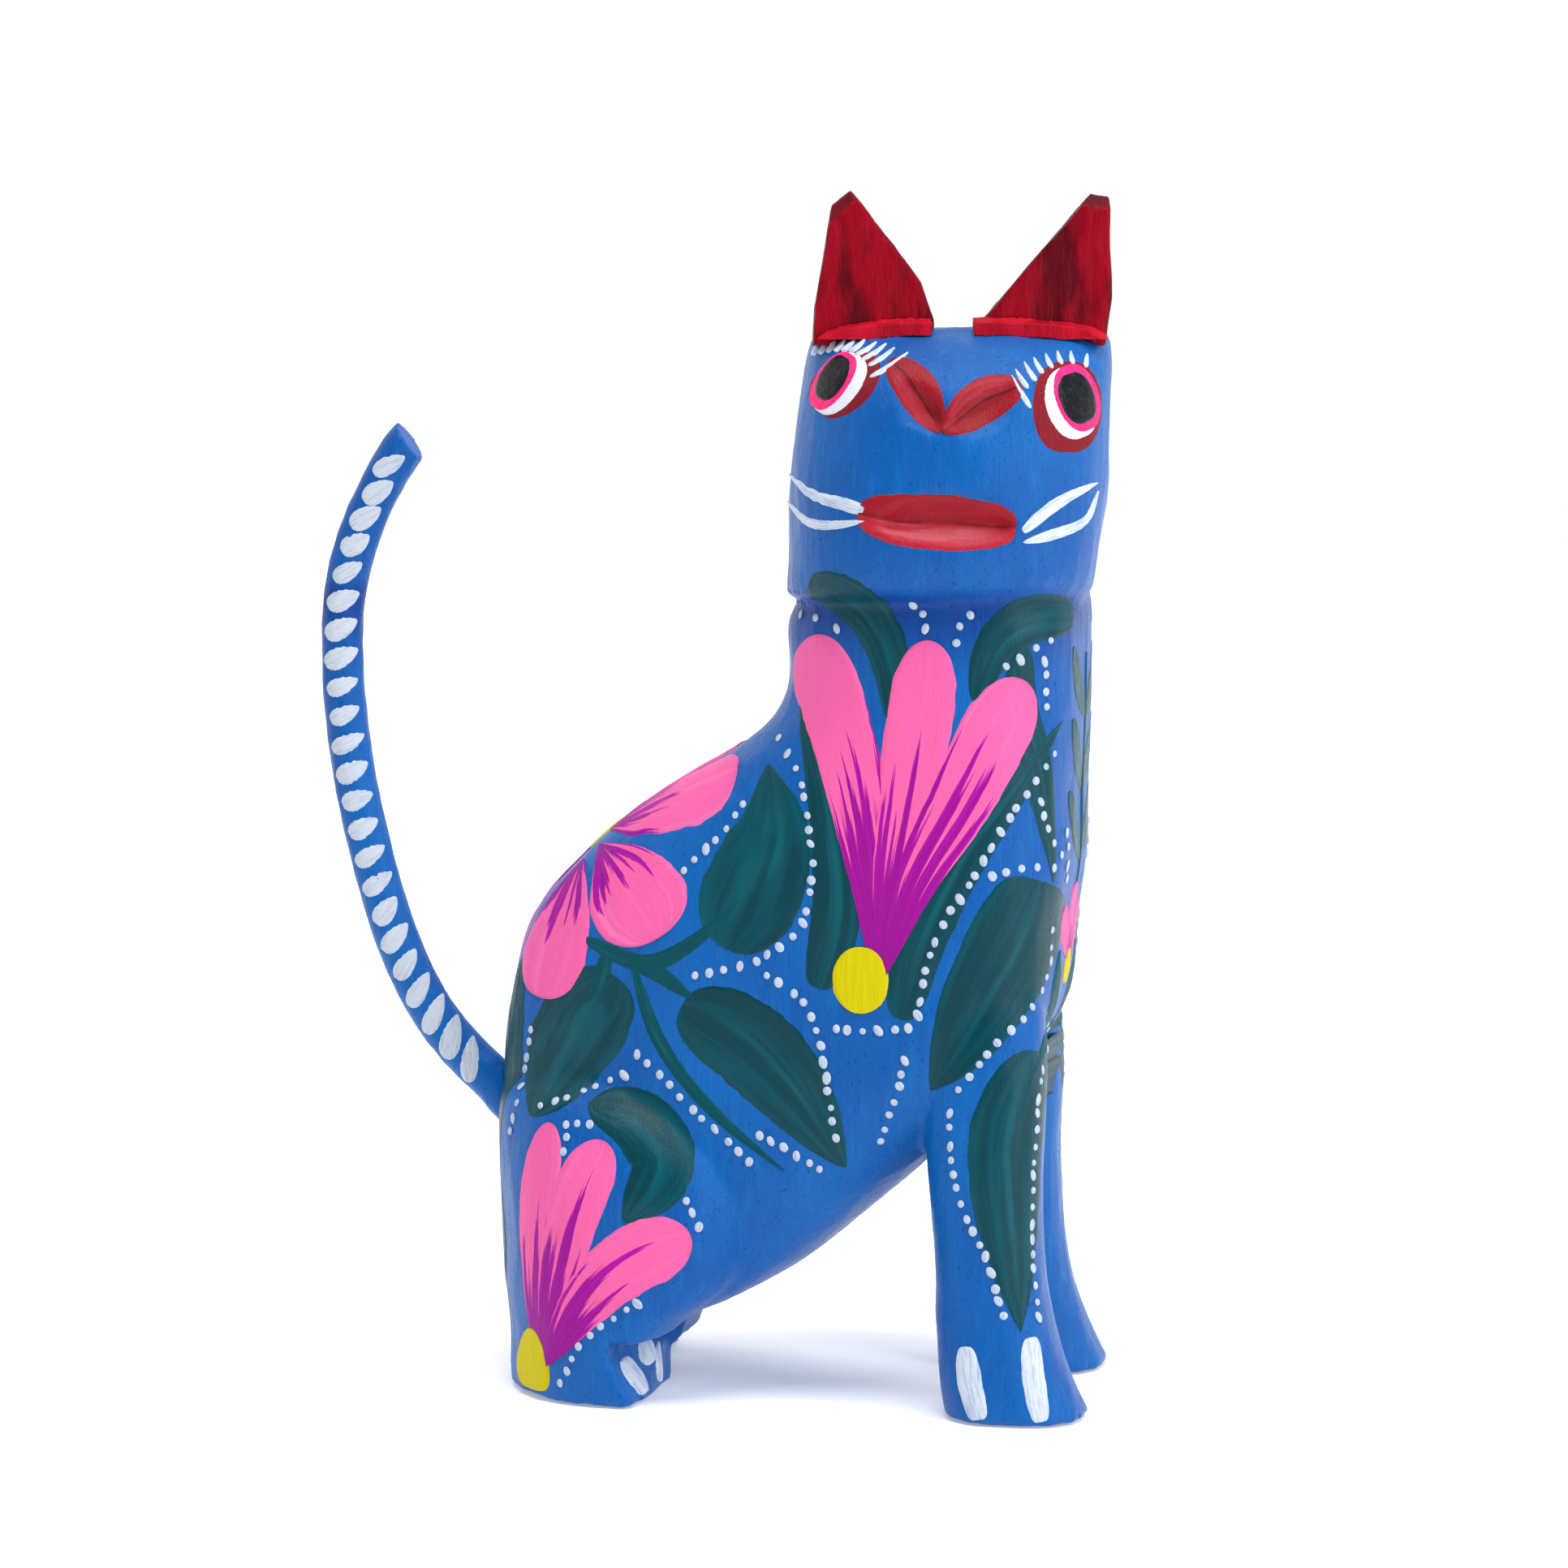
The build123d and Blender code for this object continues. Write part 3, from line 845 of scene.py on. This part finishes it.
def wrapped_petals(paint, places, petal_list):
    """The same for petals that run over an edge of the figure."""
    for points, width, peak in petal_list:
        paint.lift += PETAL_STEP
        for place in places:
            line = [place(*point)[0] for point in points]
            wrapped_stroke(paint, body_surface, line, width, start=1.9, end=0.9, peak=peak, mapped=True)


def leaf_strokes(places, leaf_list):
    """Leaves: points, width, sharpness of each end, and where it is widest."""
    for points, width, start, end, peak in leaf_list:
        for place in places:
            stroke(leaves, place, points, width, start=start, end=end, peak=peak, mapped=True)


def runs_of_dots(places, runs):
    """Rows of dots along lines of a few points each."""
    for run in runs:
        for place in places:
            dotted(dots, place, run, body_surface)


def paint_chest():
    """The tall flower on each side of the chest, with its leaves and dots."""
    leaf_strokes(FLANKS, [
        ([(11.3, 91), (12.3, 85), (14.2, 77), (15.6, 67), (15.2, 60), (13.4, 53)], 6.4, 1.8, 0.6, 0.76),
        ([(43.5, 86), (36.5, 76.6), (30.4, 68), (26, 59), (23.4, 49.5)], 6.4, 1.8, 0.6, 0.76),
        ([(12.2, 103), (16, 101.8), (20, 98.5), (22.3, 93), (22.6, 85.8)], 5.8, 0.5, 1.0, 0.36),
        ([(45, 99), (39.5, 98.7), (35.3, 96), (32.3, 88.8)], 6.2, 0.5, 1.2, 0.3),
    ])
    petals(long_petals, FLANKS, [
        ([(20.3, 54), (19.6, 66), (17.3, 80), (14.2, 91), (13.3, 96.6)], 8.4, 0.84),
        ([(20.8, 54), (22.3, 66), (24.8, 80), (27, 96.2)], 8.4, 0.82),
        ([(21.2, 54), (25, 66), (31, 77), (38.4, 91.4)], 9.0, 0.84),
    ])
    for place in FLANKS:
        stroke(yellows, place, [(18.6, 58.3), (18.5, 50)], 7.2, start=0.9, end=1.0, peak=0.5)
    edge = [front_point(across, height) for across, height in ((16, 95.5), (16, 88), (14.6, 79), (12.6, 66))]
    for line in (edge, [Vector((-point.x, point.y, point.z)) for point in edge]):
        wrapped_stroke(leaves, body_surface, line, 5.4, start=0.8, end=1.5, peak=0.4, mapped=True)
    runs_of_dots(FLANKS, [
        [(11, 99), (13.2, 98.5)],
        [(15.6, 97.5), (15.7, 97.4)],
        [(25, 100.6), (26.2, 99.4), (26.4, 97.6)],
        [(32.2, 99.5), (30.7, 97.9), (30.2, 95.7)],
        [(42, 96), (39.7, 95), (38, 93.7), (36.4, 93)],
        [(41.2, 93.6), (41.4, 88)],
        [(8.5, 83.5), (11, 79), (12.2, 73), (12.6, 67), (11.4, 61), (8.5, 58), (5.5, 56)],
        [(3.6, 55.5), (-2, 54)],
        [(7, 54.5), (11.3, 51.5), (13.5, 46.5), (14.5, 40.5), (15.5, 34.5)],
        [(15.4, 48), (19.5, 47.8), (24.5, 48.4)],
        [(42.5, 82), (36.5, 74), (32.5, 67.3), (28.7, 61.5), (26.8, 56.5), (25.6, 50)],
        [(40.6, 76.6), (41.6, 73), (44.3, 67.5)],
        [(34.5, 67.4), (38.5, 68.2), (42.5, 68)],
        [(24, 44.5), (23, 40), (21, 34)],
    ])


def front_point(across, height):
    """The wood behind a point on the panel in front of the chest."""
    return front_panel(body_surface)(across, height)[0]


def paint_chest_front():
    """A guess at the narrow front of the chest: a sprig of paired leaves above a small flower."""
    front = front_panel(body_surface)
    stroke(stems, front, [(0, 94), (0.4, 80), (0, 58)], 1.6, start=1.2, end=1.4)
    for height in (92, 83, 74):
        for side in (-1, 1):
            points = [(0.4 * side, height - 6), (4 * side, height - 2.5), (7.6 * side, height + 3)]
            stroke(leaves, front, points, 4.6, start=1.6, end=1.2, peak=0.5, mapped=True)
    for points in ([(-0.2, 55), (-6.5, 62)], [(0, 55), (0, 65)], [(0.2, 55), (6.5, 62)]):
        stroke(short_petals, front, points, 4.8, start=1.8, end=1.0, peak=0.75, mapped=True)
    stroke(yellows, front, [(0, 56.6), (0, 52)], 4.2)
    for run in ([(-9, 72), (-7.5, 66)], [(9, 72), (7.5, 66)]):
        dotted(dots, front, run, body_surface)


def paint_shoulder_and_leg():
    """The leaf on the shoulder, the one down the leg and the stripes on the toes, on both sides."""
    leaf_strokes(FLANKS, [([(40.4, 66.6), (38, 60), (33.5, 51.5), (27.2, 40.6)], 12.4, 0.55, 1.7, 0.3)])
    leaf_strokes(LEGS, [([(40, 45.6), (36.6, 36), (36.6, 26.5), (38.2, 11.6)], 9.8, 0.8, 1.8, 0.33)])
    for place in LEGS:
        stroke(stems, place, [(43.6, 57), (42.6, 49), (40, 43)], 1.8, start=1.4, end=1.2)
    runs_of_dots(FLANKS, [[(42.3, 60), (42, 55), (39.5, 50.5), (35, 46.5), (30.5, 41)]])
    runs_of_dots(LEGS, [
        [(29.5, 38), (29.6, 32.5), (31, 26.5), (34, 20.5), (36, 13.5)],
        [(42.3, 47), (40.8, 42), (39.8, 30), (39.6, 21.5), (40.5, 13)],
    ])
    for place in LEGS:
        stroke(whites, place, [(31.4, 9.6), (31.9, 5.5), (33, 0.7)], 3.2, start=0.6, end=0.35, wobble=0.12)
        stroke(whites, place, [(39.4, 10.8), (39.8, 5.5), (40.6, 0.7)], 3.0, start=0.5, end=0.35, wobble=0.12)


def ridge_line(*points):
    """Points over the middle of the back, given as forward and height."""
    return [Vector((0, -forward, height)) for forward, height in points]


def paint_back():
    """The wide flower over the ridge of the back, the leafy stems down each flank and the rump's leaves."""
    leaf_strokes(FLANKS, [
        ([(7.2, 80.4), (7.8, 73), (5.4, 65.4), (1.8, 57.6)], 12.6, 1.9, 0.8, 0.68),
        ([(-12, 53.4), (-16, 47.6), (-19.2, 42), (-22.8, 35.6)], 11.6, 0.7, 1.6, 0.36),
        ([(-3.6, 50.2), (4.4, 46), (10.6, 39.6), (16.8, 30.6)], 11.4, 0.7, 1.7, 0.34),
    ])
    for points, width in (
        ([(-16.5, 58), (-8.5, 55.3), (-2.5, 58), (3.5, 63.5)], 2.4),
        ([(-10.5, 55.5), (-6.5, 54), (-2, 51)], 2.4),
        ([(-10, 55.3), (-6.4, 45.5), (0, 37.5), (9.2, 30)], 2.0),
        ([(-13, 56.5), (-14, 53), (-15.5, 50)], 2.2),
    ):
        for place in FLANKS:
            stroke(stems, place, points, width, start=1.0, end=1.6, peak=0.35)
    wrapped_petals(short_petals, FLANKS, [
        ([(-13.4, 71.2), (-6.2, 74.8), (3.3, 79.4)], 13.0, 0.72),
        ([(-16.2, 67.2), (-19.2, 60.2), (-22, 50)], 13.0, 0.7),
    ])
    petals(short_petals, FLANKS, [([(-14.2, 69.2), (-11, 65.5), (-6.4, 58.6)], 13.2, 0.62)], end=0.9)
    short_petals.lift += PETAL_STEP
    for line, width in (
        (ridge_line((-13, 71.5), (-5, 77.5), (3, 84)), 8.0),
        (ridge_line((-16, 69), (-22, 62), (-26, 52)), 7.5),
    ):
        wrapped_stroke(short_petals, body_surface, line, width, start=1.8, end=0.9, peak=0.72, mapped=True)
    wrapped_stroke(yellows, body_surface, ridge_line((-11.6, 73), (-16.4, 68.3)), 5.0)
    for side in (-1, 1):
        rump = [Vector((side * 9.5, 26, height)) for height in (55, 43, 33, 25)]
        wrapped_stroke(leaves, body_surface, rump, 7.0, start=1.1, end=1.6, peak=0.5, mapped=True)
        low = [Vector((side * 9.5, 27, height)) for height in (31, 18, 2)]
        wrapped_stroke(leaves, body_surface, low, 5.6, start=1.6, end=0.8, peak=0.6, mapped=True)
        for height in range(3, 26, 2):
            place = Vector((side * 4, 28, height))
            dot(dots, body_surface, place, DOT_RADIUS * rng.uniform(0.85, 1.15))
    runs_of_dots(FLANKS, [
        [(-3.5, 67), (1, 71.3), (4.2, 75.5)],
        [(-23, 46), (-24.1, 39), (-25.6, 33)],
        [(-21.5, 37), (-16, 39), (-11, 41)],
        [(-9.5, 44), (-6.3, 41.5), (-3.3, 38.3), (5, 31)],
        [(6, 34.5), (10, 32.5), (13.5, 30.3)],
    ])


def paint_haunch():
    """The fan of three petals that springs from the hind foot, the leaf above it and the toes' marks."""
    leaf_strokes(FLANKS, [([(-15.4, 37.5), (-9, 35.6), (-6, 30.4), (-10.8, 23.6)], 8.8, 1.2, 1.5, 0.48)])
    petals(haunch_petals, FLANKS, [
        ([(-22, 4), (-22.2, 14), (-21.8, 25), (-20.2, 35.2)], 5.0, 0.78),
        ([(-21.5, 4), (-19, 17), (-16.8, 25.5), (-13.3, 33.4)], 7.0, 0.82),
        ([(-21.2, 4), (-16.2, 12.6), (-10.8, 18.2), (-2.6, 22.4)], 8.6, 0.78),
    ])
    for place in FLANKS:
        stroke(yellows, place, [(-22.7, 8.8), (-22.6, 5), (-22.6, 1)], 4.8, start=1.2, end=0.5, peak=0.75)
    runs_of_dots(FLANKS, [
        [(-18.2, 35.2), (-15, 35.4)],
        [(-18, 33.6), (-18.5, 31.6)],
        [(-3, 26.5), (-2.3, 25), (-1.5, 23)],
        [(-9, 13.5), (-13, 10.8), (-16.5, 7.5), (-19, 2.5)],
    ])
    for place in FLANKS:
        stroke(whites, place, [(-11.2, 5.6), (-9.7, 3.4), (-8.2, 1)], 1.8, start=0.6, end=0.6, wobble=0.15)
        stroke(whites, place, [(-8.9, 7.2), (-8.2, 5.2), (-7.7, 3.8)], 2.1, wobble=0.3)
        stroke(whites, place, [(-7, 6), (-6.8, 3.4), (-6.6, 0.9)], 0.9, wobble=0.2)


def paint_head_back():
    """A guess at the back of the head: one flower of five petals between two leaves."""
    back = side_panel(body_surface, -1)
    leaf_strokes((back,), [
        ([(24, 116), (17, 121), (15.5, 129)], 5.6, 1.0, 1.5, 0.45),
        ([(34, 116), (41, 121), (42.5, 129)], 5.6, 1.0, 1.5, 0.45),
    ])
    for step in range(5):
        angle = pi / 2 + 2 * pi * step / 5
        tip = (29 + 8 * cos(angle), 115 + 8 * sin(angle))
        stroke(short_petals, back, [(29, 115), tip], 6.4, start=1.7, end=1.0, peak=0.7, mapped=True)
    stroke(yellows, back, [(29, 117.2), (29, 112.8)], 4.4)
    for run in ([(15, 112), (18, 106), (25, 103.5)], [(43, 112), (40, 106), (33, 103.5)],
                [(21, 129), (29, 126), (37, 129)]):
        dotted(dots, back, run, body_surface)


def paint_eyes():
    """Egg-shaped eyes on dark red grounds: white, a pink ring and a black pupil that leans outwards."""
    for paint, points, width, start, end, peak in (
        (surrounds, [(20.6, 130.6), (16.8, 127.8), (13.1, 124.4)], 7.0, 1.1, 0.7, 0.55),
        (eye_whites, [(18.6, 130.8), (15.8, 127.6), (13.5, 124)], 5.8, 0.8, 0.9, 0.5),
        (eye_rings, [(17.5, 131.1), (15.1, 127.8), (13, 124.5)], 4.6, 0.8, 0.9, 0.5),
        (pupils, [(16.7, 130.8), (15.1, 128.1), (13.7, 125.6)], 3.9, 0.8, 0.8, 0.5),
        (surrounds, [(43.6, 130.3), (43.9, 124.8), (43.6, 119.2)], 9.4, 0.75, 0.7, 0.5),
        (eye_whites, [(43.4, 129.6), (44.2, 125.4), (45.8, 121)], 7.2, 0.85, 0.85, 0.5),
        (eye_rings, [(43.6, 129.8), (45, 125.9), (46.6, 121.9)], 6.2, 0.8, 0.85, 0.5),
        (pupils, [(43.9, 128.8), (44.9, 125.9), (46.2, 122.8)], 5.2, 0.75, 0.8, 0.5),
    ):
        stroke(paint, near, points, width, start=start, end=end, peak=peak, wobble=0.02)


def paint_lashes():
    """Short strokes over both eyes, fat at the foot and pointed at the tip."""
    for foot, tip in (
        ((19.6, 128.3), (24.4, 131.4)), ((19.4, 129.7), (22.8, 132)), ((18.6, 130.4), (21.8, 132.5)),
        ((17.9, 131), (20.6, 132.7)), ((17.1, 131.4), (19.2, 133)), ((16.2, 131.5), (18, 133.1)),
        ((15.3, 131.5), (16.8, 133.1)), ((14.4, 131.4), (15.6, 133.1)), ((13.5, 131.2), (14.5, 133)),
        ((12.7, 131), (13.4, 132.8)), ((39.2, 124.6), (36.8, 128.7)), ((38.9, 127), (37.3, 129.4)),
        ((39.9, 127.9), (38.4, 130.3)), ((40.8, 128.8), (39.6, 130.8)), ((42, 129.4), (41.1, 131.3)),
        ((43.2, 129.9), (42.6, 131.6)), ((44.6, 129.9), (44.3, 131.6)), ((46.2, 129.5), (46.4, 131.3)),
    ):
        middle = ((foot[0] + tip[0]) / 2, (foot[1] + tip[1]) / 2 - 0.15)
        stroke(whites, near, [foot, middle, tip], 0.75, start=0.9, end=1.6, peak=0.25)


def paint_muzzle():
    """The two carved nose leaves, the whiskers and the carved mouth."""
    for points, width in (([(22.1, 130.4), (25.5, 126.6), (28.1, 121.6)], 5.3),
                          ([(38, 127.4), (33.2, 125.4), (28.4, 121.6)], 5.7)):
        stroke(noses, near, points, width, start=0.95, end=1.4, peak=0.46, mapped=True, wobble=0.08)
    mouth_line = [(18.2, 111.9), (24, 111), (31, 110.6), (37.4, 110.2)]
    stroke(lips, near, mouth_line, 7.0, start=0.6, end=0.6, mapped=True)
    for points, width, start, end, peak in (
        ([(18.9, 112.2), (16, 113), (12.5, 114), (9.6, 116.4)], 1.8, 0.4, 1.7, 0.25),
        ([(19, 110.9), (15, 110.3), (12, 110.6), (9.6, 112.8)], 1.3, 1.3, 1.5, 0.5),
        ([(38.2, 109.6), (41.2, 112.1), (44, 113.8), (47.8, 115.4)], 1.7, 0.6, 1.4, 0.35),
        ([(38.2, 108.3), (42, 109.2), (46.2, 110.8), (47.9, 114.4)], 1.5, 1.3, 1.7, 0.35),
    ):
        stroke(whites, near, points, width, start=start, end=end, peak=peak, wobble=0.14)


def tail_line():
    """The tail's middle line on the near panel, over the stretch that is painted."""
    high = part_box("tail")[1].z / MM
    points = [vertex.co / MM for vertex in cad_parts["tail"].data.vertices]
    right, _ = panel_axes(1)
    line = []
    for step in range(TAIL_LINE_STEPS + 1):
        height = TAIL_PAINT_ROOT + (high - TAIL_PAINT_MARGIN - TAIL_PAINT_ROOT) * step / TAIL_LINE_STEPS
        band = [point.dot(right) for point in points if abs(point.z - height) < 1.5]
        line.append(((min(band) + max(band)) / 2, height))
    return line


def paint_tail():
    """A ladder of drops up each side of the tail. They stand up at its root and lie more across it above."""
    line = on_panel(tail_line())
    shares = [(step + 0.3) / TAIL_DROPS for step in range(TAIL_DROPS)]
    near_tail = side_panel(tail_surface)
    for place in (near_tail, reflected(near_tail, tail_surface)):
        for step, spot in enumerate(smooth_line(line, shares)):
            share = step / (TAIL_DROPS - 1)
            lean = radians(86 - 58 * min(1.0, share * 2.4)) + rng.uniform(-0.12, 0.12)
            length = 6.0 - 1.5 * min(1.0, share * 4) + rng.uniform(-0.3, 0.3)
            run = Vector((cos(lean), sin(lean), 0)) * length / 2
            points = [tuple(end)[:2] for end in (spot - run, spot, spot + run)]
            stroke(tail_drops, place, points, rng.uniform(2.8, 3.2), start=0.85, end=1.6, peak=0.38)


paint_chest()
paint_chest_front()
paint_shoulder_and_leg()
paint_back()
paint_haunch()
paint_head_back()
paint_eyes()
paint_lashes()
paint_muzzle()
paint_tail()
for coat in Paint.coats:
    coat.build()


# ---------------------------------------------------------------- the room

def floor():
    """A plain white table top that glows a little."""
    bpy.ops.mesh.primitive_plane_add(size=6, location=(0, 0, -0.0002))
    plane = bpy.context.object
    plane.name = "floor"
    m = Nodes("floor_white", 0.8, 0.1)
    m.shader.inputs["Emission Color"].default_value = (0.97, 0.98, 1.0, 1)
    parts = m.node("SeparateXYZ")
    m.join(m.place(1), parts.inputs["Vector"])
    near_glow = m.ramp(parts.outputs["X"], -0.45, -0.12, 0.0, FLOOR_GLOW)
    far_glow = m.ramp(parts.outputs["X"], 0.15, 0.6, 0.0, FAR_GLOW)
    m.join(m.math("ADD", near_glow, far_glow), m.shader.inputs["Emission Strength"])
    tone = m.noise(m.place(3), 2.0)
    m.colour(m.mix(m.ramp(tone, 0.3, 0.7), (0.93, 0.94, 0.96, 1), (0.96, 0.965, 0.975, 1)))
    plane.data.materials.append(m.material)


def soft_light(name, place, target, width, height, power):
    """A soft box that faces a point."""
    lamp = bpy.data.lights.new(name, "AREA")
    lamp.shape = "RECTANGLE"
    lamp.size = width
    lamp.size_y = height
    lamp.energy = power
    obj = bpy.data.objects.new(name, lamp)
    bpy.context.scene.collection.objects.link(obj)
    obj.location = place
    obj.rotation_euler = (Vector(target) - Vector(place)).to_track_quat("-Z", "Y").to_euler()


def sky():
    """White all round behind the figure and dimmer on the near side, as in front of a studio sweep."""
    world = bpy.data.worlds.new("studio")
    bpy.context.scene.world = world
    world.use_nodes = True
    tree = world.node_tree
    background = tree.nodes["Background"]
    background.inputs["Color"].default_value = (1.0, 1.0, 1.0, 1)
    direction = tree.nodes.new("ShaderNodeTexCoord")
    towards = tree.nodes.new("ShaderNodeVectorMath")
    towards.operation = "DOT_PRODUCT"
    towards.inputs[1].default_value = panel_axes(1)[1]
    dim = tree.nodes.new("ShaderNodeMapRange")
    set_range(dim, -0.1, 0.6, 1.0, 0.1)
    tree.links.new(direction.outputs["Generated"], towards.inputs[0])
    tree.links.new(towards.outputs["Value"], dim.inputs["Value"])
    tree.links.new(dim.outputs["Result"], background.inputs["Strength"])


def room():
    """The floor, the backdrop's light and three soft boxes."""
    floor()
    sky()
    middle = (0, 0, 0.075)
    soft_light("key", (-0.40, -0.72, 0.36), middle, 0.3, 0.7, 4.2)
    soft_light("top", (-0.25, -0.10, 0.80), middle, 0.4, 0.4, 4.8)
    soft_light("fill", (-0.45, 0.65, 0.35), middle, 0.5, 0.5, 0.5)


def camera():
    """Level with the cat's face, a little more than four figure heights away."""
    right, out = panel_axes(1)
    lens = bpy.data.cameras.new("camera")
    lens.sensor_width = CAMERA_SENSOR
    lens.lens = CAMERA_LENS
    obj = bpy.data.objects.new("camera", lens)
    bpy.context.scene.collection.objects.link(obj)
    place = (out * CAMERA_DISTANCE + right * CAMERA_ACROSS + Vector((0, 0, CAMERA_HEIGHT))) * MM
    place.y += -CAMERA_FORWARD * MM
    forward = -out * cos(CAMERA_PITCH) + Vector((0, 0, -1)) * sin(CAMERA_PITCH)
    obj.location = place
    obj.rotation_euler = forward.to_track_quat("-Z", "Y").to_euler()
    bpy.context.scene.camera = obj


room()
camera()
bpy.context.scene.view_settings.view_transform = "Standard"
